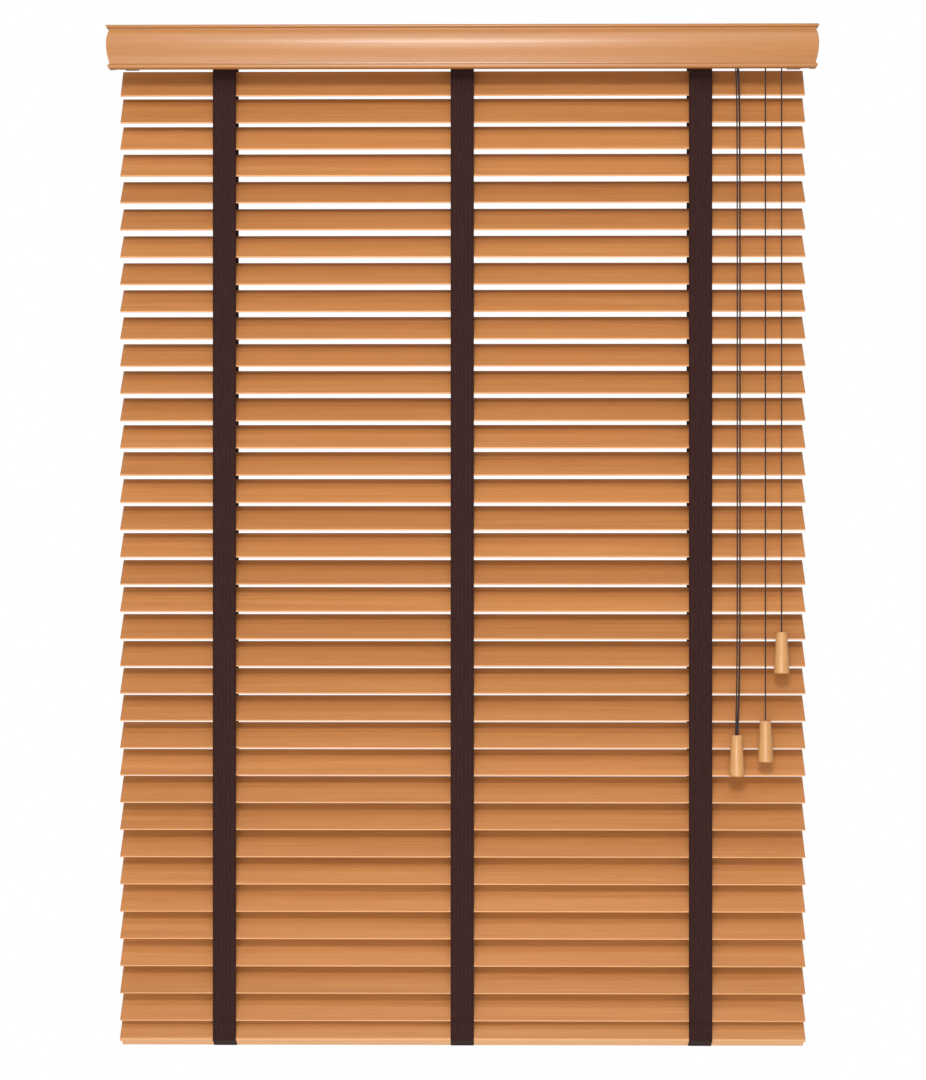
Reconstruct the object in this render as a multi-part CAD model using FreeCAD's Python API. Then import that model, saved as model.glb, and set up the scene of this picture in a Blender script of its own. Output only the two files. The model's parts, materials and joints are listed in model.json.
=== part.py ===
import FreeCAD, Part
import math
import os

# Venetian blind with 50 mm timber slats, woven ladder tapes and a moulded timber valance.
# X runs along the slats to the right, Y runs from the room to the wall and Z is up.
# The origin is on the wall plane, midway between the two brackets, at the head rail's mid height.
# All sizes are in millimetres.

# ---------------------------------------------------------------- driving dimensions
SLAT_COUNT = 35
SLAT_LENGTH = 1080.0
SLAT_WIDTH = 50.0
SLAT_THICK = 3.0
SLAT_PITCH = 43.0
SLAT_EDGE_ROUND = 1.2
TOP_SLAT_Z = -53.0
CENTRE_Y = -32.0                # the plane of the slats' centre lines
TILT_AT_REST = 49.0             # degrees, front edges down
# The slats nearest the head rail turn further than the rest; level is level for all of them.
TOP_SLAT_GAINS = (1.24, 1.20, 1.11, 1.07, 1.02)

LADDER_X = (-375.0, 0.0, 375.0)
TAPE_WIDTH = 36.5
TAPE_THICK = 1.0
TAPE_TOP_Z = -20.0
TAPE_HINGE_RADIUS = 23.5        # from a slat's centre line to where the tape's rungs hold it
TAPE_STAND_OFF = 2.0            # from that line out to the tape's inner face
TAPE_END_RISE = 7.0             # the tape's foot above the rail's edge line

ROUT_LENGTH = 18.0              # oblong holes for the lift cords, long way across the slat
ROUT_WIDTH = 5.0
CORD_RADIUS = 1.1

RAIL_DROP = 30.9                # lowest slat's centre line down to the bottom rail's
LIP_THICK = 9.0
RAIL_BODY_THICK = 15.0
RAIL_INSET = 1.5
RAIL_END_INSET = 2.0

HEAD_LENGTH = 1073.0
HEAD_DEPTH = 57.0
HEAD_HEIGHT = 45.0
HEAD_WALL = 1.0
HEAD_LIP = 6.0

VALANCE_WIDTH = 1110.0
VALANCE_HEIGHT = 67.5
VALANCE_THICK = 12.5
VALANCE_FRONT_Y = -90.0
VALANCE_TOP_Z = 27.0
CLIP_X = (-280.0, 60.0, 300.0)
RETURN_DEPTH = 16.0             # the short mitred pieces that turn the moulding round its ends

CORD_PLANE_Y = -72.3            # the free cords hang in this plane, clear of level slats
LIFT_X = 429.0
LIFT_CORD_X = (LIFT_X - 2.25, LIFT_X, LIFT_X + 2.25)
PULLEY_X = 486.3
PULLEY_Z = -13.0
PULLEY_PITCH_RADIUS = 12.6
TASSEL_LENGTH = 65.0
TASSEL_TOP_RADIUS = 8.7
TASSEL_RIM_RADIUS = 12.3
TASSEL_HOLLOW_RADIUS = 7.0
TASSEL_CROWN = 10.0              # solid timber between the top and the hollow
LIFT_BORE_RADIUS = 4.0
TILT_BORE_RADIUS = 1.6
LIFT_KNOT_RADIUS = 5.5
TILT_KNOT_RADIUS = 3.5
KNOT_GAP = 0.3
LIFT_TASSEL_TOP_Z = -1080.0
LEFT_TASSEL_TOP_Z = -1057.5
RIGHT_TASSEL_TOP_Z = -919.0

# ---------------------------------------------------------------- derived dimensions
HALF_LENGTH = SLAT_LENGTH / 2
BOTTOM_SLAT_Z = TOP_SLAT_Z - SLAT_PITCH * (SLAT_COUNT - 1)
RAIL_Z = BOTTOM_SLAT_Z - RAIL_DROP
HEAD_FRONT_Y = CENTRE_Y - HEAD_DEPTH / 2
HEAD_BACK_Y = CENTRE_Y + HEAD_DEPTH / 2
HEAD_FLOOR_Z = -HEAD_HEIGHT / 2
HEAD_TOP_Z = HEAD_HEIGHT / 2
REST_ANGLE = math.radians(TILT_AT_REST)

X_AXIS = FreeCAD.Vector(1, 0, 0)
Y_AXIS = FreeCAD.Vector(0, 1, 0)
Z_AXIS = FreeCAD.Vector(0, 0, 1)


# ---------------------------------------------------------------- small shape helpers
def block(x0, x1, y0, y1, z0, z1):
    """A box between two corners."""
    corner = FreeCAD.Vector(x0, y0, z0)
    return Part.makeBox(x1 - x0, y1 - y0, z1 - z0, corner)


def rod_x(x0, x1, y, z, radius):
    """A round bar along X."""
    return Part.makeCylinder(radius, x1 - x0, FreeCAD.Vector(x0, y, z), X_AXIS)


def rod_y(x, y0, y1, z, radius):
    """A round bar along Y."""
    return Part.makeCylinder(radius, y1 - y0, FreeCAD.Vector(x, y0, z), Y_AXIS)


def rod_z(x, y, z0, z1, radius):
    """A round bar along Z."""
    return Part.makeCylinder(radius, z1 - z0, FreeCAD.Vector(x, y, z0), Z_AXIS)


def fuse(shapes):
    """One clean solid from several that touch or overlap."""
    first, rest = shapes[0], shapes[1:]
    return first.multiFuse(rest).removeSplitter()


def mirrored(shape):
    """The same piece at the other end of the blind."""
    return shape.mirror(FreeCAD.Vector(0, 0, 0), X_AXIS)


def prism_x(points, x0, x1):
    """A straight-sided section in Y and Z, run along X."""
    corners = [FreeCAD.Vector(x0, y, z) for y, z in points]
    face = Part.Face(Part.makePolygon(corners + corners[:1]))
    return face.extrude(FreeCAD.Vector(x1 - x0, 0, 0))


def oblong_z(x, y, z0, z1, length_y, width):
    """An upright peg of oblong section, its long way along Y."""
    run = (length_y - width) / 2
    middle = block(x - width / 2, x + width / 2, y - run, y + run, z0, z1)
    ends = [rod_z(x, y + side * run, z0, z1, width / 2) for side in (-1, 1)]
    return fuse([middle] + ends)


def tilted(shape, centre_z, angle):
    """A piece made level about the X axis, turned and moved to its place between the ladders."""
    placed = shape.copy()
    placed.rotate(FreeCAD.Vector(0, 0, 0), X_AXIS, angle)
    placed.translate(FreeCAD.Vector(0, CENTRE_Y, centre_z))
    return placed


def save(name, shapes):
    """Write a sub-part, one solid or a group of separate solids."""
    whole = shapes[0] if len(shapes) == 1 else Part.makeCompound(shapes)
    whole.exportStep("parts/" + name + ".step")


# ---------------------------------------------------------------- slats
def level_slat():
    """A thin board with eased edges and an oblong hole at each ladder for the lift cord."""
    board = block(-HALF_LENGTH, HALF_LENGTH, -SLAT_WIDTH / 2, SLAT_WIDTH / 2,
                  -SLAT_THICK / 2, SLAT_THICK / 2)
    flat_edges = [edge for edge in board.Edges if edge.BoundBox.ZLength < 0.01]
    board = board.makeFillet(SLAT_EDGE_ROUND, flat_edges)
    holes = [oblong_z(x, 0, -SLAT_THICK, SLAT_THICK, ROUT_LENGTH, ROUT_WIDTH) for x in LADDER_X]
    return board.cut(Part.makeCompound(holes))


def make_slats():
    slat = level_slat()
    for index in range(SLAT_COUNT):
        gain = TOP_SLAT_GAINS[index] if index < len(TOP_SLAT_GAINS) else 1.0
        centre_z = TOP_SLAT_Z - SLAT_PITCH * index
        save("slat_%02d" % (index + 1), [tilted(slat, centre_z, gain * TILT_AT_REST)])


# ---------------------------------------------------------------- bottom rail
def make_bottom_rail():
    """A thick lip as wide as a slat over a narrower body, with pockets for cords and plugs."""
    lip_half = LIP_THICK / 2
    body_low = -lip_half - RAIL_BODY_THICK
    body_half = SLAT_WIDTH / 2 - RAIL_INSET
    body_end = HALF_LENGTH - RAIL_END_INSET
    lip = block(-HALF_LENGTH, HALF_LENGTH, -SLAT_WIDTH / 2, SLAT_WIDTH / 2, -lip_half, lip_half)
    lip = lip.makeFillet(2.0, [edge for edge in lip.Edges if edge.BoundBox.ZLength < 0.01])
    body = block(-body_end, body_end, -body_half, body_half, body_low, 0)
    low_edges = [edge for edge in body.Edges if edge.BoundBox.ZMax < body_low + 0.01]
    rail = fuse([lip, body.makeFillet(2.5, low_edges)])
    pocket_floor = -6.0
    pockets = [oblong_z(x, 0, pocket_floor, LIP_THICK, ROUT_LENGTH, ROUT_WIDTH) for x in LADDER_X]
    stem_top = body_low + 8.0
    sockets = [rod_z(x, 0, body_low - 1, stem_top, 4.0) for x in LADDER_X]
    rail = rail.cut(Part.makeCompound(pockets + sockets))
    save("bottom_rail", [tilted(rail, RAIL_Z, TILT_AT_REST)])

    tape_gap = 0.8
    plugs = []
    for x in LADDER_X:
        head_top = body_low - tape_gap
        head = oblong_z(x, 0, head_top - 2.5, head_top, 30.0, 18.0)
        head = head.makeFillet(1.0, [e for e in head.Edges if e.BoundBox.ZMax < head_top - 2.4])
        stem = rod_z(x, 0, head_top - 1, stem_top, 4.0)
        plugs.append(tilted(fuse([head, stem]), RAIL_Z, TILT_AT_REST))
    save("tape_plugs", plugs)


# ---------------------------------------------------------------- ladder tapes and inner cords
def make_ladder_tapes():
    """Front and back webbings, hanging straight just outside the slats' edges."""
    across = TAPE_HINGE_RADIUS * math.cos(REST_ANGLE) + TAPE_STAND_OFF
    rise = TAPE_HINGE_RADIUS * math.sin(REST_ANGLE)
    half = TAPE_WIDTH / 2
    front_y = CENTRE_Y - across
    back_y = CENTRE_Y + across
    front_foot = RAIL_Z - rise + TAPE_END_RISE
    back_foot = RAIL_Z + rise + TAPE_END_RISE
    fronts = [block(x - half, x + half, front_y - TAPE_THICK, front_y, front_foot, TAPE_TOP_Z)
              for x in LADDER_X]
    backs = [block(x - half, x + half, back_y, back_y + TAPE_THICK, back_foot, TAPE_TOP_Z)
             for x in LADDER_X]
    save("ladder_tape_front", fronts)
    save("ladder_tape_back", backs)


def make_inner_lift_cords():
    """One cord at each ladder, from the bottom rail up through the slats to the head rail."""
    below_floor = HEAD_FLOOR_Z - 2.0
    save("inner_lift_cords",
         [rod_z(x, CENTRE_Y, RAIL_Z, below_floor, CORD_RADIUS) for x in LADDER_X])


# ---------------------------------------------------------------- head rail
def tape_slots(x):
    """The two openings in the head rail's floor where a ladder's tapes come up."""
    half = TAPE_WIDTH / 2 + 0.75
    inner = 11.0
    front = block(x - half, x + half, HEAD_FRONT_Y + HEAD_WALL, CENTRE_Y - inner,
                  HEAD_FLOOR_Z - 1, HEAD_FLOOR_Z + 2)
    back = block(x - half, x + half, CENTRE_Y + inner, HEAD_BACK_Y - HEAD_WALL,
                 HEAD_FLOOR_Z - 1, HEAD_FLOOR_Z + 2)
    return [front, back]


def make_head_rail():
    """A steel channel, open at the top between two turned-in lips."""
    half = HEAD_LENGTH / 2
    outer = block(-half, half, HEAD_FRONT_Y, HEAD_BACK_Y, HEAD_FLOOR_Z, HEAD_TOP_Z)
    hollow = block(-half - 1, half + 1, HEAD_FRONT_Y + HEAD_WALL, HEAD_BACK_Y - HEAD_WALL,
                   HEAD_FLOOR_Z + HEAD_WALL, HEAD_TOP_Z - HEAD_WALL)
    mouth = block(-half - 1, half + 1, HEAD_FRONT_Y + HEAD_LIP, HEAD_BACK_Y - HEAD_LIP,
                  0, HEAD_TOP_Z + 1)
    cuts = [hollow, mouth]
    for x in LADDER_X:
        cuts += tape_slots(x)
        cuts.append(rod_z(x, CENTRE_Y, HEAD_FLOOR_Z - 1, HEAD_FLOOR_Z + 2, 4.0))
    cuts.append(block(LIFT_X - 10.5, LIFT_X + 10.5, HEAD_FRONT_Y - 1, HEAD_FRONT_Y + 2, -20.5, -6.0))
    cuts.append(rod_y(PULLEY_X, HEAD_FRONT_Y - 1, HEAD_FRONT_Y + 2, PULLEY_Z, 3.6))
    save("head_rail", [outer.cut(Part.makeCompound(cuts))])


# ---------------------------------------------------------------- brackets and their gates
BRACKET_IN_X = 518.0
BRACKET_OUT_X = 538.9
BRACKET_PLATE = 1.5
BRACKET_FRONT_Y = HEAD_FRONT_Y - 0.7
BRACKET_LOW_Z = HEAD_FLOOR_Z - BRACKET_PLATE
BRACKET_HIGH_Z = HEAD_TOP_Z + 0.6 + BRACKET_PLATE
SCREW_X = 527.5
SCREW_SPACING = 25.0
SCREW_RADIUS = 2.5
GATE_Y = (BRACKET_FRONT_Y - 1.7, BRACKET_FRONT_Y - 0.5)


def right_bracket():
    """A box bracket: four plates round the head rail's end, with guides in front for its gate."""
    plate = BRACKET_PLATE
    side_x = BRACKET_OUT_X - plate
    hook_y = (GATE_Y[0] - 1.5, GATE_Y[0] - 0.7)
    back = block(BRACKET_IN_X, BRACKET_OUT_X, -plate, 0, BRACKET_LOW_Z, BRACKET_HIGH_Z)
    side = block(side_x, BRACKET_OUT_X, hook_y[0], 0, BRACKET_LOW_Z, BRACKET_HIGH_Z)
    top = block(BRACKET_IN_X, BRACKET_OUT_X, BRACKET_FRONT_Y, 0,
                BRACKET_HIGH_Z - plate, BRACKET_HIGH_Z)
    floor = block(BRACKET_IN_X, BRACKET_OUT_X, BRACKET_FRONT_Y, 0,
                  BRACKET_LOW_Z, BRACKET_LOW_Z + plate)
    stop = block(524, 533, GATE_Y[0], BRACKET_FRONT_Y, BRACKET_LOW_Z, BRACKET_LOW_Z + plate)
    outer_hook = block(side_x - 2.4, side_x, hook_y[0], hook_y[1], BRACKET_LOW_Z, BRACKET_HIGH_Z)
    pieces = [back, side, top, floor, stop, outer_hook]
    for low, high in ((BRACKET_LOW_Z, -14.0), (14.0, BRACKET_HIGH_Z)):
        post = block(BRACKET_IN_X, BRACKET_IN_X + plate, hook_y[0], BRACKET_FRONT_Y + 0.5, low, high)
        hook = block(BRACKET_IN_X, BRACKET_IN_X + 4, hook_y[0], hook_y[1], low, high)
        pieces += [post, hook]
    holes = []
    for side_of_middle in (-0.5, 0.5):
        offset = side_of_middle * SCREW_SPACING
        holes.append(rod_y(SCREW_X, -3, 1, offset, SCREW_RADIUS))
        holes.append(rod_z(SCREW_X, CENTRE_Y + offset, BRACKET_HIGH_Z - 3, BRACKET_HIGH_Z + 1,
                           SCREW_RADIUS))
    return fuse(pieces).cut(Part.makeCompound(holes))


def right_gate():
    """The bracket's front plate, which slides up in the guides; a tab at its foot takes a thumb."""
    foot = BRACKET_LOW_Z + BRACKET_PLATE + 0.3
    plate = block(BRACKET_IN_X + 1.9, BRACKET_OUT_X - 1.9, GATE_Y[0], GATE_Y[1],
                  foot, BRACKET_HIGH_Z - 1)
    tab = block(523.5, 533.5, GATE_Y[0] - 4, GATE_Y[0], foot, foot + 1.2)
    return fuse([plate, tab])


def make_brackets():
    bracket = right_bracket()
    gate = right_gate()
    save("wall_brackets", [mirrored(bracket), bracket])
    save("bracket_gate_left", [mirrored(gate)])
    save("bracket_gate_right", [gate])


# ---------------------------------------------------------------- valance
def crest_arc(start, crest):
    """An arc from a point to a crest where the outline runs straight down; points are (depth, drop)."""
    sag = start[0] - crest[0]
    drop = crest[1] - start[1]
    radius = (drop * drop + sag * sag) / (2 * sag)
    half_turn = math.asin(drop / radius) / 2
    middle = (crest[0] + radius * (1 - math.cos(half_turn)), crest[1] - radius * math.sin(half_turn))
    return Part.Arc(moulding_point(start), moulding_point(middle), moulding_point(crest))


def moulding_point(point):
    """A point of the moulding's section: depth in from its front, drop from its top."""
    depth, drop = point
    return FreeCAD.Vector(0, VALANCE_FRONT_Y + depth, VALANCE_TOP_Z - drop)


def moulding_face():
    """The moulding's section: a bead, a broad swelling face and a smaller bead below."""
    def line(a, b):
        return Part.LineSegment(moulding_point(a), moulding_point(b))

    def arc(a, b, c):
        return Part.Arc(moulding_point(a), moulding_point(b), moulding_point(c))

    back_top = (VALANCE_THICK, 0.0)
    bead_top = (1.6, 0.0)
    bead_low = (2.0, 4.5)
    quirk_top = (4.2, 5.0)
    face_top = (4.4, 7.3)
    crest = (0.3, 28.0)
    face_low = (4.6, 58.9)
    quirk_low = (4.6, 60.2)
    foot_top = (3.4, 60.8)
    foot_low = (3.8, 66.8)
    base = (4.8, VALANCE_HEIGHT)
    back_low = (VALANCE_THICK, VALANCE_HEIGHT)
    edges = [
        line(back_top, bead_top), arc(bead_top, (0.0, 2.3), bead_low), line(bead_low, quirk_top),
        line(quirk_top, face_top), crest_arc(face_top, crest), crest_arc(face_low, crest),
        line(face_low, quirk_low), line(quirk_low, foot_top), arc(foot_top, (2.2, 63.7), foot_low),
        line(foot_low, base), line(base, back_low), line(back_low, back_top),
    ]
    return Part.Face(Part.Wire([Part.Edge(edge.toShape()) for edge in edges]))


def plan_prism(points):
    """An upright prism over a plan outline, taller than the valance."""
    low = VALANCE_TOP_Z - VALANCE_HEIGHT - 5
    corners = [FreeCAD.Vector(x, y, low) for x, y in points]
    face = Part.Face(Part.makePolygon(corners + corners[:1]))
    return face.extrude(FreeCAD.Vector(0, 0, VALANCE_HEIGHT + 10))


def make_valance():
    """The front board and its two returns, mitred together at the corners."""
    half = VALANCE_WIDTH / 2
    inner_half = half - VALANCE_THICK
    inner_y = VALANCE_FRONT_Y + VALANCE_THICK
    board = moulding_face()
    board.translate(FreeCAD.Vector(-half, 0, 0))
    board = board.extrude(FreeCAD.Vector(VALANCE_WIDTH, 0, 0))
    board = board.common(plan_prism([(-half, VALANCE_FRONT_Y), (half, VALANCE_FRONT_Y),
                                     (inner_half, inner_y), (-inner_half, inner_y)]))
    save("valance_board", [board])

    turned = moulding_face()
    turned.translate(FreeCAD.Vector(0, -VALANCE_FRONT_Y, 0))
    turned.rotate(FreeCAD.Vector(0, 0, 0), Z_AXIS, 90)
    turned.translate(FreeCAD.Vector(half, VALANCE_FRONT_Y, 0))
    side = turned.extrude(FreeCAD.Vector(0, RETURN_DEPTH, 0))
    back_y = VALANCE_FRONT_Y + RETURN_DEPTH
    side = side.common(plan_prism([(half, VALANCE_FRONT_Y), (half, back_y),
                                   (inner_half, back_y), (inner_half, inner_y)]))
    save("valance_returns", [mirrored(side), side])


def make_valance_clips():
    """Spring clips that hook on the head rail's front lip and carry the valance board."""
    half_width = 12.5
    sheet = 1.2
    inner_y = VALANCE_FRONT_Y + VALANCE_THICK
    clips = []
    for x in CLIP_X:
        over = block(x - half_width, x + half_width, inner_y, HEAD_FRONT_Y + HEAD_LIP,
                     HEAD_TOP_Z, HEAD_TOP_Z + sheet)
        pad = block(x - half_width, x + half_width, inner_y, inner_y + sheet,
                    -12.0, HEAD_TOP_Z + sheet)
        grip = block(x - half_width, x + half_width, HEAD_FRONT_Y - sheet, HEAD_FRONT_Y,
                     6.0, HEAD_TOP_Z + sheet)
        clips.append(fuse([over, pad, grip]))
    save("valance_clips", clips)


# ---------------------------------------------------------------- tilt mechanism
ROD_FLATS = 6.35
HUB_RADIUS = 5.0
HUB_BEARING_RADIUS = 5.1
CRADLE_HALF_LENGTH = 23.5
CRADLE_HALF_DEPTH = 10.5
CRADLE_WALL = 3.0
CRADLE_BASE = 2.0
CRADLE_TOP_Z = 9.0
CORD_NOTCH_TOP_Z = -13.0
GEAR_RADIUS = 8.0
GEAR_TEETH = 14
WORM_RADIUS = 4.5
WORM_PITCH = 3.0
SHAFT_RADIUS = 2.5
SHAFT_BEARING_RADIUS = 2.6


def hexagon_bar(x0, x1, across_flats):
    """A six-sided bar along X, on the head rail's middle line."""
    corner_radius = across_flats / math.sqrt(3)
    turns = [math.radians(60 * step) for step in range(6)]
    points = [(CENTRE_Y + corner_radius * math.cos(t), corner_radius * math.sin(t)) for t in turns]
    return prism_x(points, x0, x1)


def make_tilt_rod():
    save("tilt_rod", [hexagon_bar(-404.0, 505.0, ROD_FLATS)])


def make_ladder_drums():
    """A barrel for each ladder, turning with the rod, with hubs that run in its cradle."""
    bore = hexagon_bar(-600.0, 600.0, ROD_FLATS + 0.1)
    drums = []
    for x in LADDER_X:
        barrel = rod_x(x - 19.0, x + 19.0, CENTRE_Y, 0, 8.0)
        rims = [rod_x(x + end - 1, x + end + 1, CENTRE_Y, 0, 9.0) for end in (-19.0, 19.0)]
        hub = rod_x(x - 24.5, x + 24.5, CENTRE_Y, 0, HUB_RADIUS)
        drums.append(fuse([barrel, hub] + rims).cut(bore))
    save("ladder_drums", drums)


def make_drum_cradles():
    """A saddle on the head rail's floor under each drum, with a hole and a notch for the lift cord."""
    floor = HEAD_FLOOR_Z + HEAD_WALL
    front, back = CENTRE_Y - CRADLE_HALF_DEPTH, CENTRE_Y + CRADLE_HALF_DEPTH
    end, inner = CRADLE_HALF_LENGTH, CRADLE_HALF_LENGTH - CRADLE_WALL
    cradles = []
    for x in LADDER_X:
        base = block(x - end, x + end, front, back, floor, floor + CRADLE_BASE)
        walls = [block(x + low, x + high, front, back, floor, CRADLE_TOP_Z)
                 for low, high in ((-end, -inner), (inner, end))]
        notch = block(x + inner - 1, x + end + 1, CENTRE_Y - 2, CENTRE_Y + 2,
                      floor + CRADLE_BASE, CORD_NOTCH_TOP_Z)
        holes = [rod_z(x, CENTRE_Y, floor - 1, floor + CRADLE_BASE + 1, 3.0),
                 rod_x(x - end - 1, x + end + 1, CENTRE_Y, 0, HUB_BEARING_RADIUS), notch]
        cradles.append(fuse([base] + walls).cut(Part.makeCompound(holes)))
    save("drum_cradles", cradles)


def make_tilter_housing():
    """The tilter's open-topped case, with bearings for the gear's hubs and the worm's shaft."""
    left, right = PULLEY_X - 17.0, PULLEY_X + 17.0
    front, back = -58.0, -15.0
    low, high = HEAD_FLOOR_Z + HEAD_WALL, 13.0
    wall = 2.0
    case = block(left, right, front, back, low, high)
    hollow = block(left + wall, right - wall, front + wall, back - wall, low + wall, high + 1)
    holes = [hollow, rod_x(left - 1, right + 1, CENTRE_Y, 0, HUB_BEARING_RADIUS),
             rod_y(PULLEY_X, front - 1, back + 1, PULLEY_Z, SHAFT_BEARING_RADIUS)]
    save("tilter_housing", [case.cut(Part.makeCompound(holes))])


def make_tilter_gear():
    """The toothed wheel that turns the tilt rod, with a hub through each wall of the case."""
    root_radius = GEAR_RADIUS - 1.6
    wheel = rod_x(PULLEY_X - 5, PULLEY_X + 5, CENTRE_Y, 0, root_radius)
    hub = rod_x(PULLEY_X - 17.5, PULLEY_X + 17.5, CENTRE_Y, 0, HUB_RADIUS)
    tooth = prism_x([(CENTRE_Y - 1.1, root_radius - 1), (CENTRE_Y + 1.1, root_radius - 1),
                     (CENTRE_Y + 0.5, GEAR_RADIUS), (CENTRE_Y - 0.5, GEAR_RADIUS)],
                    PULLEY_X - 5, PULLEY_X + 5)
    teeth = []
    for step in range(GEAR_TEETH):
        turned = tooth.copy()
        turned.rotate(FreeCAD.Vector(0, CENTRE_Y, 0), X_AXIS, (step + 0.5) * 360.0 / GEAR_TEETH)
        teeth.append(turned)
    gear = fuse([wheel, hub] + teeth)
    save("tilter_gear", [gear.cut(hexagon_bar(-600.0, 600.0, ROD_FLATS + 0.1))])


def make_tilter_worm():
    """The worm, its shaft and the grooved cord pulley on the shaft's front end."""
    worm_back, worm_front = -20.0, -46.0
    crests = int((worm_back - worm_front) / WORM_PITCH)
    points = [(0.0, worm_front), (WORM_RADIUS - 1.4, worm_front)]
    for step in range(crests):
        start = worm_front + step * WORM_PITCH
        points += [(WORM_RADIUS, start + 0.35 * WORM_PITCH), (WORM_RADIUS, start + 0.65 * WORM_PITCH),
                   (WORM_RADIUS - 1.4, start + WORM_PITCH)]
    points.append((0.0, points[-1][1]))
    corners = [FreeCAD.Vector(PULLEY_X + r, y, PULLEY_Z) for r, y in points]
    thread = Part.Face(Part.makePolygon(corners + corners[:1]))
    worm = thread.revolve(FreeCAD.Vector(PULLEY_X, 0, PULLEY_Z), Y_AXIS, 360)
    shaft = rod_y(PULLEY_X, CORD_PLANE_Y, -15.0, PULLEY_Z, SHAFT_RADIUS)
    core = rod_y(PULLEY_X, CORD_PLANE_Y - 2.5, CORD_PLANE_Y + 2.5, PULLEY_Z,
                 PULLEY_PITCH_RADIUS - CORD_RADIUS - 0.4)
    flanges = [rod_y(PULLEY_X, CORD_PLANE_Y + low, CORD_PLANE_Y + low + 1, PULLEY_Z, 14.0)
               for low in (-3.0, 2.0)]
    save("tilter_worm", [fuse([worm, shaft, core] + flanges)])


# ---------------------------------------------------------------- cord lock
ROLLER_Y = CORD_PLANE_Y + 5.4
ROLLER_Z = -13.0
ROLLER_RADIUS = 4.0


def make_cord_lock():
    """A block in the head rail whose nose comes out in front and holds the cord roller."""
    x = LIFT_X
    floor = HEAD_FLOOR_Z + HEAD_WALL
    inside = block(x - 13, x + 13, HEAD_FRONT_Y + HEAD_WALL, -36, floor, -6.5)
    nose = block(x - 10, x + 10, CORD_PLANE_Y - 3.0, HEAD_FRONT_Y + 3, -20, -6.5)
    slot = block(x - 6, x + 6, CORD_PLANE_Y - 1.5, HEAD_FRONT_Y - 0.5, -21, -5)
    tunnel = block(x - 4, x + 4, HEAD_FRONT_Y - 2, -35, -11, -5)
    pin_hole = rod_x(x - 9, x + 9, ROLLER_Y, ROLLER_Z, 1.3)
    body = fuse([inside, nose]).cut(Part.makeCompound([slot, tunnel, pin_hole]))
    save("cord_lock_body", [body])
    wheel = rod_x(x - 5.7, x + 5.7, ROLLER_Y, ROLLER_Z, ROLLER_RADIUS)
    pin = rod_x(x - 8.8, x + 8.8, ROLLER_Y, ROLLER_Z, 1.2)
    save("cord_lock_roller", [fuse([wheel, pin])])


# ---------------------------------------------------------------- free cords and tassels
def tassel(x, top_z, bore_radius):
    """A turned bell, wider at its rounded foot, bored for its cord and hollow for the knot."""
    low_z = top_z - TASSEL_LENGTH
    outline = [
        (bore_radius, top_z), (TASSEL_TOP_RADIUS, top_z), (TASSEL_RIM_RADIUS, low_z + 5.0),
        (TASSEL_RIM_RADIUS, low_z), (TASSEL_HOLLOW_RADIUS, low_z),
        (TASSEL_HOLLOW_RADIUS, top_z - TASSEL_CROWN), (bore_radius, top_z - TASSEL_CROWN),
    ]
    corners = [FreeCAD.Vector(x + r, CORD_PLANE_Y, z) for r, z in outline]
    section = Part.Face(Part.makePolygon(corners + corners[:1]))
    bell = section.revolve(FreeCAD.Vector(x, CORD_PLANE_Y, 0), Z_AXIS, 360)
    bell = bell.makeFillet(0.7, rim_edges(bell, TASSEL_TOP_RADIUS, top_z))
    return bell.makeFillet(3.2, rim_edges(bell, TASSEL_RIM_RADIUS, low_z))


def rim_edges(shape, radius, z):
    """The circular edges of a turned piece at one radius and height."""
    return [edge for edge in shape.Edges
            if abs(edge.BoundBox.ZMax - z) < 0.01 and abs(edge.BoundBox.ZMin - z) < 0.01
            and abs(edge.BoundBox.XLength - 2 * radius) < 0.05]


def knot(x, tassel_top_z, radius):
    """The ball of cord inside a tassel, under its crown."""
    centre = FreeCAD.Vector(x, CORD_PLANE_Y, tassel_top_z - TASSEL_CROWN - radius - KNOT_GAP)
    return Part.makeSphere(radius, centre)


def tilt_cord(x, tassel_top_z):
    """One tilt cord, from its side of the pulley down to the knot in its tassel."""
    ball = knot(x, tassel_top_z, TILT_KNOT_RADIUS)
    cord = rod_z(x, CORD_PLANE_Y, ball.BoundBox.Center.z, PULLEY_Z, CORD_RADIUS)
    return fuse([cord, ball])


def make_free_cords():
    """The cords that hang in front of the slats, each straight under its tassel's weight."""
    ball = knot(LIFT_X, LIFT_TASSEL_TOP_Z, LIFT_KNOT_RADIUS)
    pulls = [rod_z(x, CORD_PLANE_Y, ball.BoundBox.Center.z, ROLLER_Z, CORD_RADIUS)
             for x in LIFT_CORD_X]
    save("lift_pull_cords", [fuse(pulls + [ball])])
    left_x, right_x = PULLEY_X - PULLEY_PITCH_RADIUS, PULLEY_X + PULLEY_PITCH_RADIUS
    save("tilt_cords", [tilt_cord(left_x, LEFT_TASSEL_TOP_Z), tilt_cord(right_x, RIGHT_TASSEL_TOP_Z)])
    save("lift_tassel", [tassel(LIFT_X, LIFT_TASSEL_TOP_Z, LIFT_BORE_RADIUS)])
    save("tilt_tassel_left", [tassel(left_x, LEFT_TASSEL_TOP_Z, TILT_BORE_RADIUS)])
    save("tilt_tassel_right", [tassel(right_x, RIGHT_TASSEL_TOP_Z, TILT_BORE_RADIUS)])


def main():
    os.makedirs("parts", exist_ok=True)
    make_slats()
    make_bottom_rail()
    make_ladder_tapes()
    make_inner_lift_cords()
    make_head_rail()
    make_brackets()
    make_valance()
    make_valance_clips()
    make_tilt_rod()
    make_ladder_drums()
    make_drum_cradles()
    make_tilter_housing()
    make_tilter_gear()
    make_tilter_worm()
    make_cord_lock()
    make_free_cords()


main()
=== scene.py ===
import json
import math

import bpy
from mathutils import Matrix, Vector, noise


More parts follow.
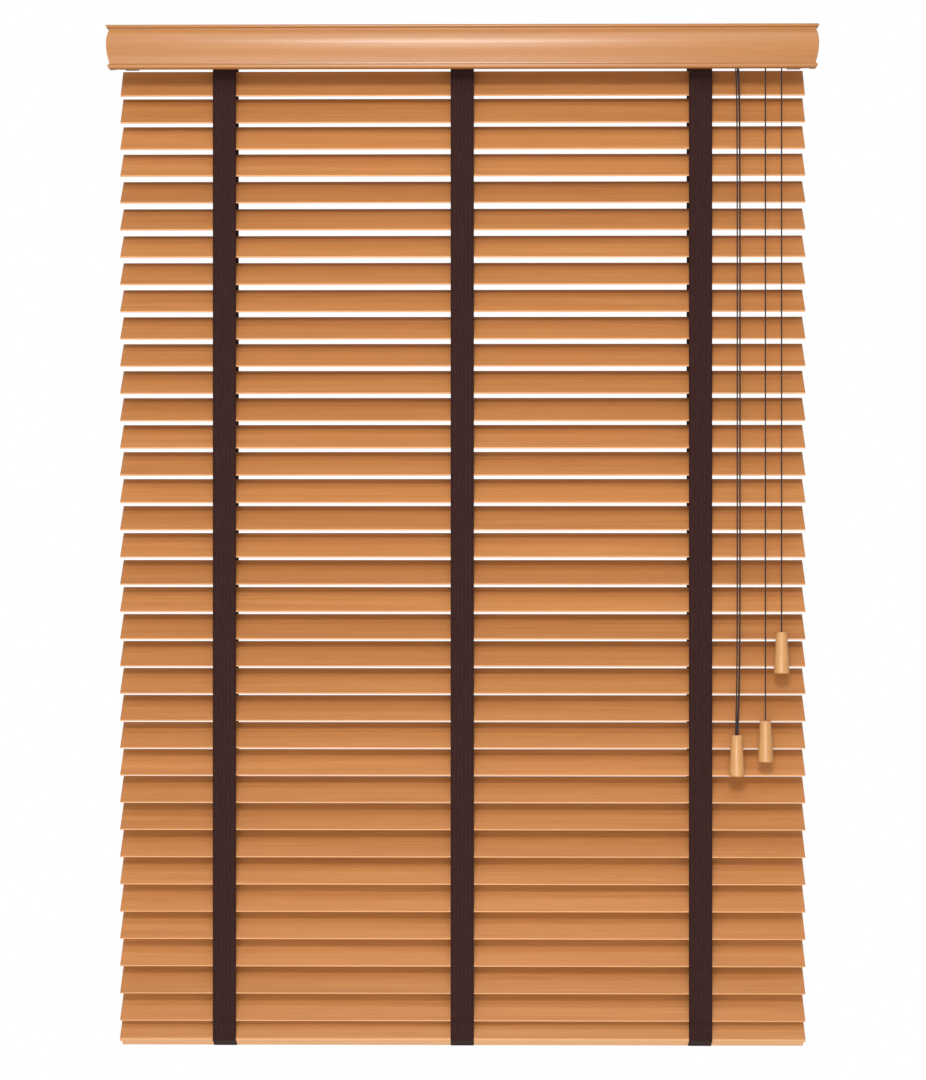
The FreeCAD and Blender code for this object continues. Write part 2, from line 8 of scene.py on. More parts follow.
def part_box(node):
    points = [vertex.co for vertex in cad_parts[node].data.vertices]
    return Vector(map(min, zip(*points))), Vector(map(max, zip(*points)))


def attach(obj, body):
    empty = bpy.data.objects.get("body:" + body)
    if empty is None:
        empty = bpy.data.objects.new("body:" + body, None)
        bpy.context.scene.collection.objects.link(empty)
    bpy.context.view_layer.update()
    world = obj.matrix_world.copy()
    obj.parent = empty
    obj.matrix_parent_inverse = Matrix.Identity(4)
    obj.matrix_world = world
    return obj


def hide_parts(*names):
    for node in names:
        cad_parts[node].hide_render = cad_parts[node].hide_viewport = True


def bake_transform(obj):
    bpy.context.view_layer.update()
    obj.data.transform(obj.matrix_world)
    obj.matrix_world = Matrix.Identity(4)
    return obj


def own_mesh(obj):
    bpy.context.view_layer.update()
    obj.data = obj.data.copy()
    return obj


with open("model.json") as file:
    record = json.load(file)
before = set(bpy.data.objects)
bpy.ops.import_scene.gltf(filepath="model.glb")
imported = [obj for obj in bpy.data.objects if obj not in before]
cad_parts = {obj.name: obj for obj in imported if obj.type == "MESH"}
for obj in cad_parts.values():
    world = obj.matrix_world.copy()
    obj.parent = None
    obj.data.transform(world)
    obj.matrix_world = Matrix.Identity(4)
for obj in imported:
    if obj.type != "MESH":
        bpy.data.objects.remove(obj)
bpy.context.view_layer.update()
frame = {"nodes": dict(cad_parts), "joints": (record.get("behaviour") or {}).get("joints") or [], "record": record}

NODES = frame["nodes"]
JOINTS = {joint["name"]: joint for joint in frame["joints"]}
SLATS = sorted(name for name in NODES if name.startswith("slat_"))

# ---------------------------------------------------------------- places read from the frame
CENTRE_Y = JOINTS["slat_tilt"]["pos_m"][1]
RAIL_AXIS = Vector(JOINTS["slat_tilt"]["pos_m"])
SLAT_AXES = {name: Vector(JOINTS[name + "_tilt"]["pos_m"]) for name in SLATS}
REST_TILT = 49.0                                   # degrees, front edges down
TILT_GAIN = {link["joint"]: link["ratio"] for link in frame["record"]["behaviour"]["couplings"]}
LADDER_X = (-0.375, 0.0, 0.375)
TAPE_WIDTH = 0.0365
CLOTH = 0.0008
CORD_PLANE_Y = -0.0723
CORD_RADIUS = 0.0011
TASSEL_CROWN = 0.010
LOCK_X = 0.429
CHANNEL_Z = -0.0165                                # just over the head rail's floor


def collection_object(name, data):
    """A new object in the scene, holding a mesh, camera or light."""
    made = bpy.data.objects.new(name, data)
    bpy.context.scene.collection.objects.link(made)
    return made


def mesh_piece(name, points, faces, smooth=True):
    """A new mesh object in the row frame."""
    mesh = bpy.data.meshes.new(name)
    mesh.from_pydata([tuple(p) for p in points], [], faces)
    mesh.validate()
    mesh.polygons.foreach_set("use_smooth", [smooth] * len(mesh.polygons))
    mesh.update()
    return collection_object(name, mesh)


# ---------------------------------------------------------------- camera
def make_camera():
    """Square on to the blind, level with the middle of its drop, a few centimetres to the right."""
    data = bpy.data.cameras.new("camera")
    data.sensor_width = 36.0
    data.lens = 66.67
    camera = collection_object("camera", data)
    camera.location = (0.027, -3.2, -0.7757)
    yaw = math.radians(0.47)
    camera.rotation_euler = (math.radians(90), 0, yaw)
    bpy.context.scene.camera = camera


make_camera()


# ---------------------------------------------------------------- tubes, strips and turned shapes
def smooth_path(points, step):
    """Points along the NURBS spline that a given route gives."""
    curve = bpy.data.curves.new("route", "CURVE")
    curve.dimensions = "3D"
    spline = curve.splines.new("NURBS")
    spline.points.add(len(points) - 1)
    for target, point in zip(spline.points, points):
        target.co = (*point, 1.0)
    spline.order_u = 3
    spline.use_endpoint_u = True
    run = sum((Vector(b) - Vector(a)).length for a, b in zip(points, points[1:]))
    curve.resolution_u = max(4, int(run / step / max(1, len(points) - 2)))
    holder = bpy.data.objects.new("route", curve)
    line = bpy.data.meshes.new_from_object(holder)
    found = [vertex.co.copy() for vertex in line.vertices]
    bpy.data.objects.remove(holder)
    bpy.data.curves.remove(curve)
    bpy.data.meshes.remove(line)
    return found


def braided_tube(name, path, radius, sides=12):
    """A round cord whose strands twist round it, closed at both ends."""
    strands, pitch = 4, 0.006
    points, faces = [], []
    run = 0.0
    for i, centre in enumerate(path):
        ahead = path[min(i + 1, len(path) - 1)] - path[max(i - 1, 0)]
        ahead.normalize()
        side = ahead.cross(Vector((0, 1, 0))).normalized()
        up = side.cross(ahead).normalized()
        if i:
            run += (centre - path[i - 1]).length
        for k in range(sides):
            angle = 2 * math.pi * k / sides
            lay = strands * (angle + 2 * math.pi * run / pitch / strands)
            reach = radius * (0.95 + 0.05 * math.cos(lay))
            points.append(centre + reach * (math.cos(angle) * side + math.sin(angle) * up))
    for i in range(len(path) - 1):
        for k in range(sides):
            a, b = i * sides + k, i * sides + (k + 1) % sides
            faces.append((a, b, b + sides, a + sides))
    faces.append(tuple(reversed(range(sides))))
    last = (len(path) - 1) * sides
    faces.append(tuple(range(last, last + sides)))
    return mesh_piece(name, points, faces)


def turned(name, profile, x, y, segments=48):
    """A ring of revolution about a vertical line, from a closed outline of (radius, height) pairs."""
    points, faces = [], []
    for radius, height in profile:
        for k in range(segments):
            angle = 2 * math.pi * k / segments
            points.append((x + radius * math.cos(angle), y + radius * math.sin(angle), height))
    for i in range(len(profile)):
        below = (i + 1) % len(profile)
        for k in range(segments):
            side = (k + 1) % segments
            faces.append((i * segments + k, below * segments + k, below * segments + side,
                          i * segments + side))
    return mesh_piece(name, points, faces)


# ---------------------------------------------------------------- material helpers
class Recipe:
    """A node material being written: short calls that add a node and link it up."""

    def __init__(self, name, roughness, specular=0.5):
        self.material = bpy.data.materials.new(name)
        self.material.use_nodes = True
        self.tree = self.material.node_tree
        self.shader = self.tree.nodes["Principled BSDF"]
        self.shader.inputs["Roughness"].default_value = roughness
        self.shader.inputs["Specular IOR Level"].default_value = specular

    def add(self, kind, **inputs):
        node = self.tree.nodes.new("ShaderNode" + kind)
        for key, value in inputs.items():
            key = key.replace("_", " ")
            if hasattr(value, "is_output"):
                self.tree.links.new(value, node.inputs[key])
            else:
                node.inputs[key].default_value = value
        return node

    def link(self, output, socket):
        self.tree.links.new(output, self.shader.inputs[socket])

    def place(self, scale):
        """Object coordinates, in metres, stretched by scale."""
        where = self.add("TexCoord").outputs["Object"]
        return self.add("Mapping", Vector=where, Scale=scale).outputs["Vector"]

    def noise(self, scale, detail=4.0, rough=0.55, warp=0.0):
        made = self.add("TexNoise", Vector=self.place(scale), Scale=1.0, Detail=detail,
                        Roughness=rough, Distortion=warp)
        return made.outputs["Fac"]

    def ramp(self, value, stops):
        node = self.add("ValToRGB", Fac=value)
        ramp = node.color_ramp
        while len(ramp.elements) < len(stops):
            ramp.elements.new(0.5)
        for element, (place, colour) in zip(ramp.elements, stops):
            element.position = place
            element.color = (*colour, 1.0)
        return node.outputs["Color"]

    def math(self, kind, a, b=0.0, c=0.0):
        node = self.tree.nodes.new("ShaderNodeMath")
        node.operation = kind
        for socket, value in zip(node.inputs, (a, b, c)):
            if hasattr(value, "is_output"):
                self.tree.links.new(value, socket)
            else:
                socket.default_value = value
        return node.outputs["Value"]

    def mix(self, kind, amount, a, b):
        node = self.tree.nodes.new("ShaderNodeMix")
        node.data_type = "RGBA"
        node.blend_type = kind
        colours = [socket for socket in node.inputs if socket.type == "RGBA"]
        for socket, value in ((node.inputs[0], amount), (colours[0], a), (colours[1], b)):
            if hasattr(value, "is_output"):
                self.tree.links.new(value, socket)
            else:
                socket.default_value = value if isinstance(value, float) else (*value, 1.0)
        return next(socket for socket in node.outputs if socket.type == "RGBA")

    def bump(self, height, strength, distance):
        made = self.add("Bump", Height=height, Strength=strength, Distance=distance)
        self.link(made.outputs["Normal"], "Normal")


def grey(value):
    """The three equal channels of a grey."""
    return (value, value, value)


def slat_number(recipe):
    """A different whole number for each slat, from its height."""
    where = recipe.add("TexCoord").outputs["Object"]
    height = recipe.add("SeparateXYZ", Vector=where).outputs["Z"]
    pitch = (SLAT_AXES[SLATS[0]] - SLAT_AXES[SLATS[1]]).length
    top = SLAT_AXES[SLATS[0]].z + pitch / 2
    return recipe.math("FLOOR", recipe.math("DIVIDE", recipe.math("SUBTRACT", top, height), pitch))


def paint_edge_highlight(recipe, base):
    """A painted highlight: the long edges of slats and rail, mixed towards a pale orange."""
    turn = math.radians(REST_TILT)
    normal = recipe.add("TexCoord").outputs["Normal"]
    parts = recipe.add("SeparateXYZ", Vector=normal)
    facing = recipe.math("MULTIPLY_ADD", parts.outputs["Y"], math.cos(turn),
                         recipe.math("MULTIPLY", parts.outputs["Z"], math.sin(turn)))
    edge = recipe.ramp(recipe.math("ABSOLUTE", facing), ((0.55, grey(0.0)), (0.85, grey(1.0))))
    # the pale orange mixed in on the edge faces is a painted highlight
    return recipe.mix("MIX", recipe.add("RGBToBW", Color=edge).outputs["Val"], base, (0.80, 0.42, 0.18))


def timber(name, dark, mid, light, gloss, across=(1.0, 1.0), along="X", per_slat=False, coat=0.0,
           edge_highlight=False):
    """Straight-grained stained timber: broad bands, streaks, fine pores, and a satin lacquer."""
    recipe = Recipe(name, gloss)
    order = {"X": lambda a, c: (a, c, c), "Z": lambda a, c: (c, c, a)}[along]
    bands = recipe.noise(order(1.3 * across[0], 60 * across[1]), detail=3.0, warp=0.4)
    streaks = recipe.noise(order(3.0 * across[0], 320 * across[1]), detail=5.0, rough=0.6)
    pores = recipe.noise(order(14.0, 1500.0), detail=2.0, rough=0.7)
    blend = recipe.math("MULTIPLY_ADD", streaks, 0.55, recipe.math("MULTIPLY", bands, 0.45))
    base = recipe.ramp(blend, ((0.30, dark), (0.50, mid), (0.70, light)))
    fleck = recipe.ramp(pores, ((0.36, grey(0.80)), (0.50, grey(1.0))))
    base = recipe.mix("MULTIPLY", 0.55, base, fleck)
    if per_slat:
        pick = recipe.add("TexWhiteNoise")
        pick.noise_dimensions = "1D"
        recipe.tree.links.new(slat_number(recipe), pick.inputs["W"])
        tone = recipe.ramp(pick.outputs["Value"], ((0.0, grey(0.90)), (1.0, grey(1.06))))
        base = recipe.mix("MULTIPLY", 1.0, base, tone)
        hue = recipe.ramp(pick.outputs["Value"], ((0.0, (1.0, 0.97, 0.92)), (1.0, (1.0, 1.02, 1.06))))
        base = recipe.mix("MULTIPLY", 0.6, base, hue)
    # painted highlight on the long edges, mixed into the base colour
    if edge_highlight:
        base = paint_edge_highlight(recipe, base)
    recipe.link(base, "Base Color")
    rough = recipe.math("MULTIPLY_ADD", streaks, 0.16, gloss - 0.08)
    recipe.link(rough, "Roughness")
    height = recipe.math("MULTIPLY_ADD", pores, 0.6, recipe.math("MULTIPLY", streaks, 0.4))
    recipe.bump(height, 0.25, 0.00012)
    recipe.shader.inputs["Coat Weight"].default_value = coat
    recipe.shader.inputs["Coat Roughness"].default_value = 0.24
    return recipe.material


def woven(name, warp_colour, rib_colour, edge_colour):
    """Ribbed webbing: lengthwise ribs, fine picks across, darker selvedges."""
    recipe = Recipe(name, 0.85, specular=0.15)
    where = recipe.add("TexCoord").outputs["Object"]
    parts = recipe.add("SeparateXYZ", Vector=where)
    x, z = parts.outputs["X"], parts.outputs["Z"]
    spacing = LADDER_X[2]
    shifted = recipe.math("ADD", x, spacing * 3.5)
    local = recipe.math("SUBTRACT", recipe.math("FLOORED_MODULO", shifted, spacing), spacing / 2)
    picks = recipe.math("SINE", recipe.math("MULTIPLY", z, 2 * math.pi / 0.0011))
    ends = recipe.math("SINE", recipe.math("MULTIPLY", local, 2 * math.pi / 0.0012))
    weave = recipe.math("MULTIPLY", picks, ends)
    ribs = recipe.math("COSINE", recipe.math("MULTIPLY", local, 2 * math.pi / 0.0061))
    fibre = recipe.noise((700.0, 700.0, 60.0), detail=4.0)
    tone = recipe.math("MULTIPLY_ADD", ribs, 0.11, recipe.math("MULTIPLY_ADD", weave, 0.10, fibre))
    base = recipe.ramp(tone, ((0.25, warp_colour), (0.75, rib_colour)))
    edge = recipe.math("ABSOLUTE", local)
    selvedge = recipe.math("MULTIPLY", recipe.math("SUBTRACT", edge, 0.0162), 900.0)
    mask = recipe.math("MINIMUM", recipe.math("SMOOTH_MAX", selvedge, 0.0, 0.05), 1.0)
    base = recipe.mix("MIX", mask, base, edge_colour)
    recipe.link(base, "Base Color")
    recipe.shader.inputs["Sheen Weight"].default_value = 0.06
    recipe.shader.inputs["Sheen Roughness"].default_value = 0.5
    height = recipe.math("MULTIPLY_ADD", weave, 0.5, recipe.math("MULTIPLY", ribs, 0.5))
    recipe.bump(height, 0.5, 0.00025)
    return recipe.material


def cord_yarn(name, dark, light):
    """Polyester braid: twisted strands with a fuzz of fibre."""
    recipe = Recipe(name, 0.7, specular=0.3)
    strands = recipe.add("TexWave", Vector=recipe.place((900.0, 900.0, 520.0)), Scale=1.0,
                         Distortion=2.0, Detail=2.0).outputs["Fac"]
    fibre = recipe.noise((3000.0, 3000.0, 800.0), detail=3.0)
    base = recipe.ramp(recipe.math("MULTIPLY_ADD", fibre, 0.5, recipe.math("MULTIPLY", strands, 0.5)),
                       ((0.2, dark), (0.8, light)))
    recipe.link(base, "Base Color")
    recipe.bump(strands, 0.4, 0.0002)
    recipe.shader.inputs["Sheen Weight"].default_value = 0.2
    return recipe.material


def metal(name, colour, rough, metallic):
    """Painted or bare metal with fine brushing along X and a faint cloud of darker patches."""
    recipe = Recipe(name, rough)
    recipe.shader.inputs["Metallic"].default_value = metallic
    brushed = recipe.noise((30.0, 1400.0, 1400.0), detail=3.0)
    cloud = recipe.noise((14.0, 14.0, 14.0), detail=3.0)
    dark = tuple(c * 0.88 for c in colour)
    base = recipe.ramp(recipe.math("MULTIPLY_ADD", brushed, 0.5, recipe.math("MULTIPLY", cloud, 0.5)),
                       ((0.3, dark), (0.7, colour)))
    recipe.link(base, "Base Color")
    recipe.link(recipe.math("MULTIPLY_ADD", cloud, 0.2, rough - 0.1), "Roughness")
    recipe.bump(brushed, 0.15, 0.0001)
    return recipe.material


def plastic(name, colour):
    """Moulded plastic with a fine grain."""
    rough = 0.45
    recipe = Recipe(name, rough)
    grain = recipe.noise((900.0, 900.0, 900.0), detail=4.0)
    cloud = recipe.noise((25.0, 25.0, 25.0), detail=2.0)
    dark = tuple(c * 0.88 for c in colour)
    recipe.link(recipe.ramp(cloud, ((0.35, dark), (0.65, colour))), "Base Color")
    recipe.link(recipe.math("MULTIPLY_ADD", grain, 0.15, rough - 0.07), "Roughness")
    recipe.bump(grain, 0.2, 0.0001)
    return recipe.material


# slats and bottom rail carry the painted edge highlight
SLAT_WOOD = timber("slat_wood", (0.455, 0.175, 0.050), (0.535, 0.214, 0.064), (0.605, 0.258, 0.084), 0.38,
                   per_slat=True, edge_highlight=True)
RAIL_WOOD = timber("rail_wood", (0.455, 0.178, 0.051), (0.53, 0.220, 0.068), (0.60, 0.262, 0.087), 0.38,
                   edge_highlight=True)
VALANCE_WOOD = timber("valance_wood", (0.375, 0.136, 0.020), (0.425, 0.160, 0.025), (0.466, 0.184, 0.031),
                      0.5, across=(0.8, 0.8), coat=0.7)
TASSEL_WOOD = timber("tassel_wood", (0.49, 0.230, 0.070), (0.57, 0.280, 0.100), (0.64, 0.345, 0.136), 0.36,
                     across=(4.0, 3.0), along="Z", coat=0.3)
TAPE = woven("woven_tape", (0.022, 0.0066, 0.0056), (0.038, 0.0130, 0.0105), (0.022, 0.0078, 0.0066))
YARN = cord_yarn("cord_yarn", (0.009, 0.004, 0.004), (0.030, 0.012, 0.010))
STEEL = metal("painted_steel", (0.56, 0.36, 0.20), 0.4, 0.0)
SPRING = metal("spring_steel", (0.55, 0.55, 0.56), 0.3, 1.0)
ZINC = metal("zinc_steel", (0.6, 0.6, 0.58), 0.35, 1.0)
BRASS = metal("brass_roller", (0.72, 0.52, 0.22), 0.3, 1.0)
PALE = plastic("pale_plastic", (0.72, 0.69, 0.60))
BROWN = plastic("brown_plastic", (0.16, 0.075, 0.035))


def dress(material, *names):
    """Give CAD nodes a material."""
    for name in names:
        slots = NODES[name].data.materials
        slots.clear()
        slots.append(material)


# ---------------------------------------------------------------- cords and their tassels
def free_cord(name, node, route):
    """A hanging cord: a braided tube along a smooth route, in place of the CAD cord node."""
    path = smooth_path(route, 0.0012)
    tube = braided_tube(name, path, CORD_RADIUS)
    tube.data.materials.append(YARN)
    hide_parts(node)
    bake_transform(tube)


def tassel_outline(low, top, rim, bore):
    """Crown, straight flare, rounded foot, hollow and bore of a turned tassel."""
    crown, hollow = 0.0087, 0.0070
    outline = [(bore, top - 0.0004), (bore + 0.0004, top), (crown - 0.0009, top),
               (crown - 0.0003, top - 0.0003), (crown, top - 0.0010)]
    for step in range(1, 13):
        share = step / 12
        outline.append((crown + (rim - crown) * share, top - 0.0010 - share * (top - low - 0.0050)))
    for step in range(1, 7):
        turn = math.pi / 2 * step / 6
        outline.append((rim - 0.0032 * (1 - math.cos(turn)), low + 0.0032 * (1 - math.sin(turn))))
    outline += [(hollow + 0.0006, low), (hollow, low + 0.0006), (hollow, top - TASSEL_CROWN),
                (bore, top - TASSEL_CROWN)]
    return outline


def make_knot(name, centre, size):
    """An overhand knot pulled tight."""
    loop = []
    for step in range(60):
        turn = 2 * math.pi * step / 60
        loop.append(centre + size * Vector(((math.sin(turn) + 2 * math.sin(2 * turn)) / 3,
                                            (math.cos(turn) - 2 * math.cos(2 * turn)) / 3,
                                            -0.7 * math.sin(3 * turn))))
    knot = braided_tube(name, loop, CORD_RADIUS, sides=8)
    knot.data.materials.append(YARN)
    return knot


def make_tassel(node, bore, knot_size):
    low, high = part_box(node)
    x = (low.x + high.x) / 2
    piece = turned(node + "_turned", tassel_outline(low.z, high.z, (high.x - low.x) / 2, bore),
                   x, CORD_PLANE_Y)
    piece.data.materials.append(TASSEL_WOOD)
    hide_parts(node)
    end = Vector((x, CORD_PLANE_Y, high.z - TASSEL_CROWN - knot_size - CORD_RADIUS))
    knot = make_knot(node + "_knot", end, knot_size)
    for made in (piece, knot):
        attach(made, node)
    return [piece, knot], high.z, end


def make_cords():
    """Three lift cords that close up into one tassel, and a tassel on each end of the tilt cord."""
    exit_z = -0.013
    pieces, top, end = make_tassel("lift_tassel", 0.0040, 0.0036)
    strands = (("left", -0.00225, 0.0008, 0.0), ("middle", 0.0, 0.0052, 0.0025),
               ("right", 0.00225, 0.0052, 0.0))
    for name, start, hang, behind in strands:
        gathered = (start * 0.8, behind * 0.4)
        route = [(end.x + start, CORD_PLANE_Y, exit_z), (end.x + start, CORD_PLANE_Y, -0.03),
                 (end.x + hang, CORD_PLANE_Y + behind, -0.09),
                 (end.x + hang, CORD_PLANE_Y + behind, -0.60),
                 (end.x + hang, CORD_PLANE_Y + behind, top + 0.10),
                 (end.x + gathered[0], CORD_PLANE_Y + gathered[1], top + 0.004),
                 (end.x + gathered[0], CORD_PLANE_Y + gathered[1], top - TASSEL_CROWN),
                 (end.x + gathered[0] * 0.5, CORD_PLANE_Y, end.z)]
        free_cord("lift_cord_" + name, "lift_pull_cords", route)
    for side in ("left", "right"):
        body = "tilt_tassel_" + side
        pieces, top, end = make_tassel(body, 0.0016, 0.0030)
        route = [(end.x, CORD_PLANE_Y, exit_z), (end.x, CORD_PLANE_Y, -0.4), tuple(end)]
        free_cord("tilt_cord_" + side, "tilt_cords", route)


make_cords()


# ---------------------------------------------------------------- ladder tapes
def ribbed_section(width, thick):
    """(across, outward) pairs round a webbing's section: ribs on both faces, thin selvedges."""
    half, ribs = width / 2, 6
    steps = ribs * 4
    outer, inner = [], []
    for k in range(steps + 1):
        across = -half + width * k / steps
        swell = 0.00012 * math.cos(2 * math.pi * k / 4)
        edge = 0.35 * thick if k in (0, steps) else 0.5 * thick
        outer.append((across, edge + swell))
        inner.append((across, -edge - swell))
    return outer + inner[::-1]


def strip(name, centre_x, line):
    """Webbing along a line of (y, z) points in one upright plane, closed at both ends."""
    section = ribbed_section(TAPE_WIDTH, CLOTH)
    count = len(section)
    points, faces = [], []
    for i, (y, z) in enumerate(line):
        before, after = line[max(i - 1, 0)], line[min(i + 1, len(line) - 1)]
        along = Vector((0, after[0] - before[0], after[1] - before[1])).normalized()
        outward = Vector((0, along.z, -along.y))
        for across, out in section:
            points.append(Vector((centre_x + across, y, z)) + outward * out)
    for i in range(len(line) - 1):
        for k in range(count):
            a, b = i * count + k, i * count + (k + 1) % count
            faces.append((a, b, b + count, a + count))
    faces.append(tuple(range(count)))
    last = (len(line) - 1) * count
    faces.append(tuple(reversed(range(last, last + count))))
    piece = mesh_piece(name, points, faces)
    piece.data.materials.append(TAPE)
    return piece


def rail_place(y, z):
    """A point of the level bottom rail, turned to the rail's resting tilt: (y, z) in the frame."""
    turn = math.radians(REST_TILT)
    return (RAIL_AXIS.y + y * math.cos(turn) - z * math.sin(turn),
            RAIL_AXIS.z + y * math.sin(turn) + z * math.cos(turn))


def tape_line(y, top, foot, seed=0.0, sway=0.00018):
    """A tape hanging from the head rail: straight, with the slightest waver between slats."""
    steps = int((top - foot) / 0.006)
    line = []
    for i in range(steps + 1):
        z = top + (foot - top) * i / steps
        ease = min(1.0, min(i, steps - i) / 6)
        line.append((y + sway * ease * noise.noise(Vector((seed, z * 30, 0.5))), z))
    return line


def wrap_line():
    """Round the rail from the front tape's foot, under its body, up to the back tape's foot."""
    corners = [(-0.0199, 0.0065), (-0.0216, 0.0058), (-0.0238, 0.0053), (-0.02535, 0.0044),
               (-0.0256, 0.0015), (-0.0256, -0.0030), (-0.0251, -0.0047), (-0.0242, -0.0056),
               (-0.02405, -0.0085), (-0.02405, -0.0170), (-0.0230, -0.0193), (-0.0205, -0.0200),
               (-0.0120, -0.0200), (0.0, -0.0200), (0.0120, -0.0200), (0.0205, -0.0200),
               (0.0230, -0.0193), (0.02405, -0.0170), (0.02405, -0.0085), (0.0242, -0.0056),
               (0.0251, -0.0047), (0.0256, -0.0030), (0.0258, -0.0005), (0.0272, 0.0007),
               (0.0304, 0.0027)]
    fine = []
    for (y0, z0), (y1, z1) in zip(corners, corners[1:]):
        fine += [(y0 + (y1 - y0) * k / 3, z0 + (z1 - z0) * k / 3) for k in range(3)]
    fine.append(corners[-1])
    return [rail_place(y, z) for y, z in fine]


def make_tapes():
    for side in ("front", "back"):
        node, body = "ladder_tape_" + side, "tape_" + side
        low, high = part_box(node)
        y = (low.y + high.y) / 2
        inset = 0.0004
        split = low.z + 0.022
        for number, x in enumerate(LADDER_X, 1):
            name = "tape_%s_%d" % (side, number)
            main = strip(name, x, tape_line(y, high.z, split, number + 10 * (side == "back")))
            foot = strip(name + "_foot", x, tape_line(y, split + inset, low.z, sway=0.0))
            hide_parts(node)
            for piece in (main, foot):
                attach(piece, body)
            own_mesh(foot)
    for number, x in enumerate(LADDER_X, 1):
        band = strip("tape_wrap_%d" % number, x, wrap_line())
        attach(band, "bottom_rail")
        run = sum(math.dist(a, b) for a, b in zip(wrap_line(), wrap_line()[1:]))


make_tapes()


# ---------------------------------------------------------------- ladder rungs
def make_rungs():
    """Two narrow cloth rungs at each ladder, under every slat, from the front tape to the back."""
    width, thick, from_middle = 0.0042, 0.0005, 0.0115
    front_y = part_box("ladder_tape_front")[1].y + 0.0002
    back_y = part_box("ladder_tape_back")[0].y - 0.0002
    for name in SLATS:
        axis = SLAT_AXES[name]
        turn = math.radians(REST_TILT * TILT_GAIN[name + "_tilt"])
        under, reach = -0.0015 - thick / 2 - 0.0001, 0.0238

        def placed(y, z):
            return (axis.y + y * math.cos(turn) - z * math.sin(turn),
                    axis.z + y * math.sin(turn) + z * math.cos(turn))

        front_low, back_low = placed(-reach, under), placed(reach, under)
        line = [(front_y, placed(-0.0246, 0)[1] - 0.0012), front_low, placed(-0.012, under),
                placed(0, under), placed(0.012, under), back_low,
                (back_y, placed(0.0246, 0)[1] - 0.0004)]
        points, faces = [], []
        for ladder in LADDER_X:
            for offset in (-from_middle, from_middle):
                start = len(points)
                for i, (y, z) in enumerate(line):
                    before, after = line[max(i - 1, 0)], line[min(i + 1, len(line) - 1)]
                    along = Vector((0, after[0] - before[0], after[1] - before[1])).normalized()
                    out = Vector((0, -along.z, along.y)) * thick / 2
                    for sx, so in ((-1, -1), (1, -1), (1, 1), (-1, 1)):
                        points.append(Vector((ladder + offset + sx * width / 2, y, z)) + out * so)
                for i in range(len(line) - 1):
                    for k in range(4):
                        a, b = start + i * 4 + k, start + i * 4 + (k + 1) % 4
                        faces.append((a, b, b + 4, a + 4))
                faces.append((start + 3, start + 2, start + 1, start))
                last = start + (len(line) - 1) * 4
                faces.append((last, last + 1, last + 2, last + 3))
        rungs = mesh_piece("rungs_" + name[-2:], points, faces, smooth=False)
        rungs.data.materials.append(TAPE)
        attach(rungs, name)


make_rungs()


# ---------------------------------------------------------------- cords inside the blind
def make_inner_cords():
    """The lift cords from the bottom rail to the head rail, and on along it to the cord lock."""
    low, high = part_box("inner_lift_cords")
    for number, x in enumerate(LADDER_X, 1):
        route = [(x, CENTRE_Y, z) for z in (low.z, (low.z + high.z) / 2, high.z)]
        cord = braided_tube("inner_cord_%d" % number, smooth_path(route, 0.02), CORD_RADIUS, sides=8)
        cord.data.materials.append(YARN)
        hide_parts("inner_lift_cords")
        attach(cord, "lift_cords")
    for number, x in enumerate(LADDER_X, 1):
        route = [(x, CENTRE_Y, high.z), (x, CENTRE_Y, CHANNEL_Z), (x + 0.012, CENTRE_Y, CHANNEL_Z),
                 (x + 0.026, CENTRE_Y, CHANNEL_Z), (x + 0.033, CENTRE_Y - 0.007, -0.012)]
        if number < 3:
            lane = CENTRE_Y - 0.007 + 0.003 * number
            route += [(x + 0.036, CENTRE_Y - 0.007, 0.006), (x + 0.046, lane, 0.0125),
                      (0.400, lane, 0.0125)]
        into_lock = LOCK_X + 0.0024 * (number - 2)
        route += [(into_lock, -0.0410, -0.0015), (into_lock, -0.0480, -0.0079),
                  (into_lock, -0.0669, -0.0077), (into_lock, CORD_PLANE_Y, -0.0077),
                  (into_lock, CORD_PLANE_Y, -0.0135)]
        run = braided_tube("rail_cord_%d" % number, smooth_path(route, 0.003), CORD_RADIUS, sides=8)
        run.data.materials.append(YARN)
        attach(run, "root")


make_inner_cords()


# ---------------------------------------------------------------- CAD nodes that stay
dress(SLAT_WOOD, *SLATS)
dress(RAIL_WOOD, "bottom_rail")
dress(VALANCE_WOOD, "valance_board", "valance_returns")
dress(STEEL, "head_rail", "wall_brackets", "bracket_gate_left", "bracket_gate_right", "cord_lock_body")
dress(SPRING, "valance_clips")
dress(ZINC, "tilt_rod")
dress(BRASS, "cord_lock_roller")
dress(PALE, "ladder_drums", "drum_cradles", "tilter_housing", "tilter_gear", "tilter_worm")
dress(BROWN, "tape_plugs")


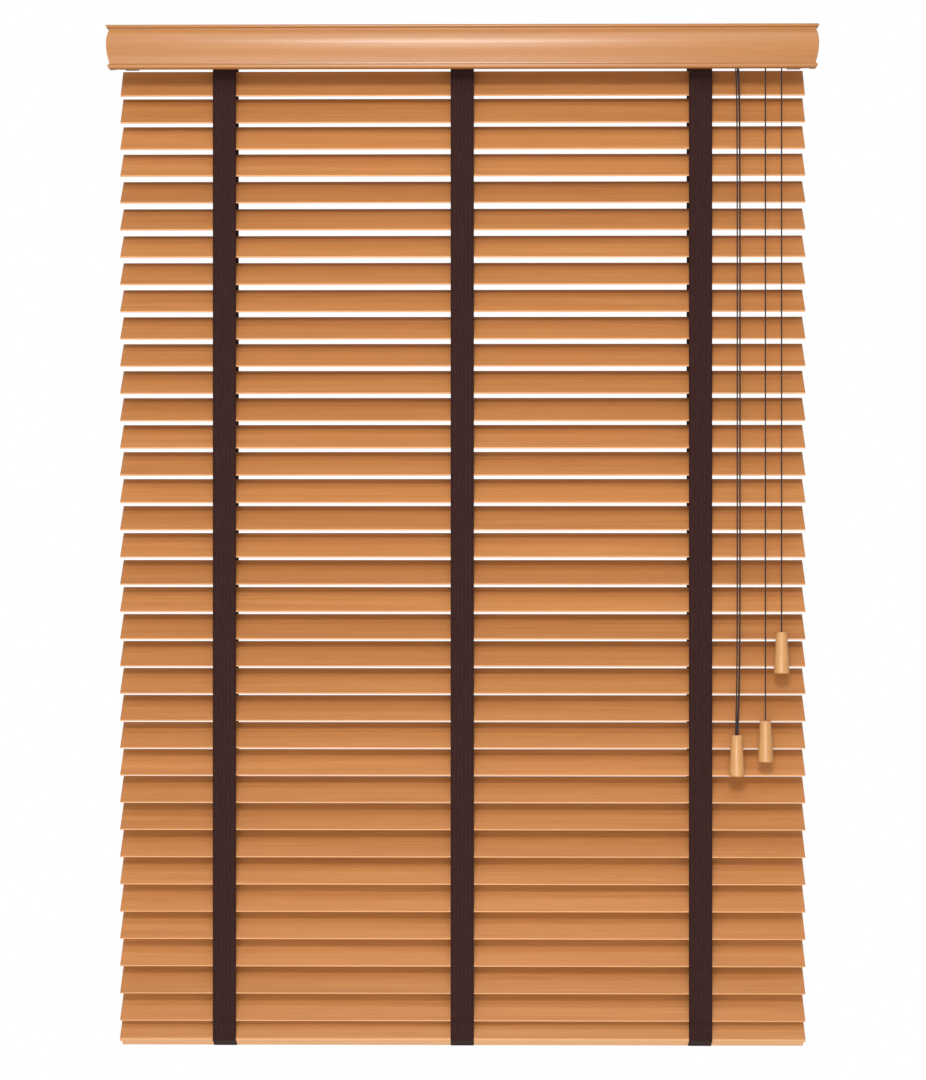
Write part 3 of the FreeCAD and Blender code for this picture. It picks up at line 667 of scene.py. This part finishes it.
# ---------------------------------------------------------------- floor, world and lights
def make_stage():
    """A pale floor well below the blind; nothing stands behind it."""
    low = -2.0
    floor = mesh_piece("floor", [(-4, -5, low), (4, -5, low), (4, 1.1, low), (-4, 1.1, low)],
                       [(0, 1, 2, 3)])
    recipe = Recipe("floor_paint", 0.7)
    recipe.link(recipe.ramp(recipe.noise((3, 3, 3)), ((0.3, grey(0.86)), (0.7, grey(0.90)))), "Base Color")
    floor.data.materials.append(recipe.material)


def area_light(name, place, aim, size, power):
    """A white rectangular lamp, hidden from the camera."""
    data = bpy.data.lights.new(name, "AREA")
    data.shape = "RECTANGLE"
    data.size, data.size_y = size
    data.energy = power
    lamp = collection_object(name, data)
    lamp.location = place
    lamp.visible_camera = False
    lamp.rotation_euler = (Vector(aim) - Vector(place)).to_track_quat("-Z", "Y").to_euler()


def make_world():
    """A white surround that lights the blind less than it shows."""
    world = bpy.data.worlds.new("world")
    bpy.context.scene.world = world
    world.use_nodes = True
    tree = world.node_tree
    seen = tree.nodes["Background"]
    seen.inputs["Color"].default_value = (1, 1, 1, 1)
    fill = tree.nodes.new("ShaderNodeBackground")
    fill.inputs["Strength"].default_value = 0.45
    path = tree.nodes.new("ShaderNodeLightPath")
    mix = tree.nodes.new("ShaderNodeMixShader")
    tree.links.new(path.outputs["Is Camera Ray"], mix.inputs[0])
    tree.links.new(fill.outputs[0], mix.inputs[1])
    tree.links.new(seen.outputs[0], mix.inputs[2])
    tree.links.new(mix.outputs[0], tree.nodes["World Output"].inputs["Surface"])


def make_lights():
    """A softbox above the camera, a broad fill below it, one overhead and one low in front."""
    area_light("softbox", (-0.1, -3.5, 0.98), (0, 0, -0.6), (0.9, 0.6), 62)
    area_light("front_fill", (-0.3, -3.7, -1.1), (0, 0, -0.9), (2.0, 1.1), 34)
    area_light("overhead", (0, -2.2, 1.5), (0, 0, -1.3), (2.2, 0.9), 18)
    area_light("low_fill", (0, -1.9, -1.95), (0, 0, -0.9), (2.4, 0.8), 26)
    bpy.context.scene.view_settings.view_transform = "Standard"


make_stage()
make_world()
make_lights()
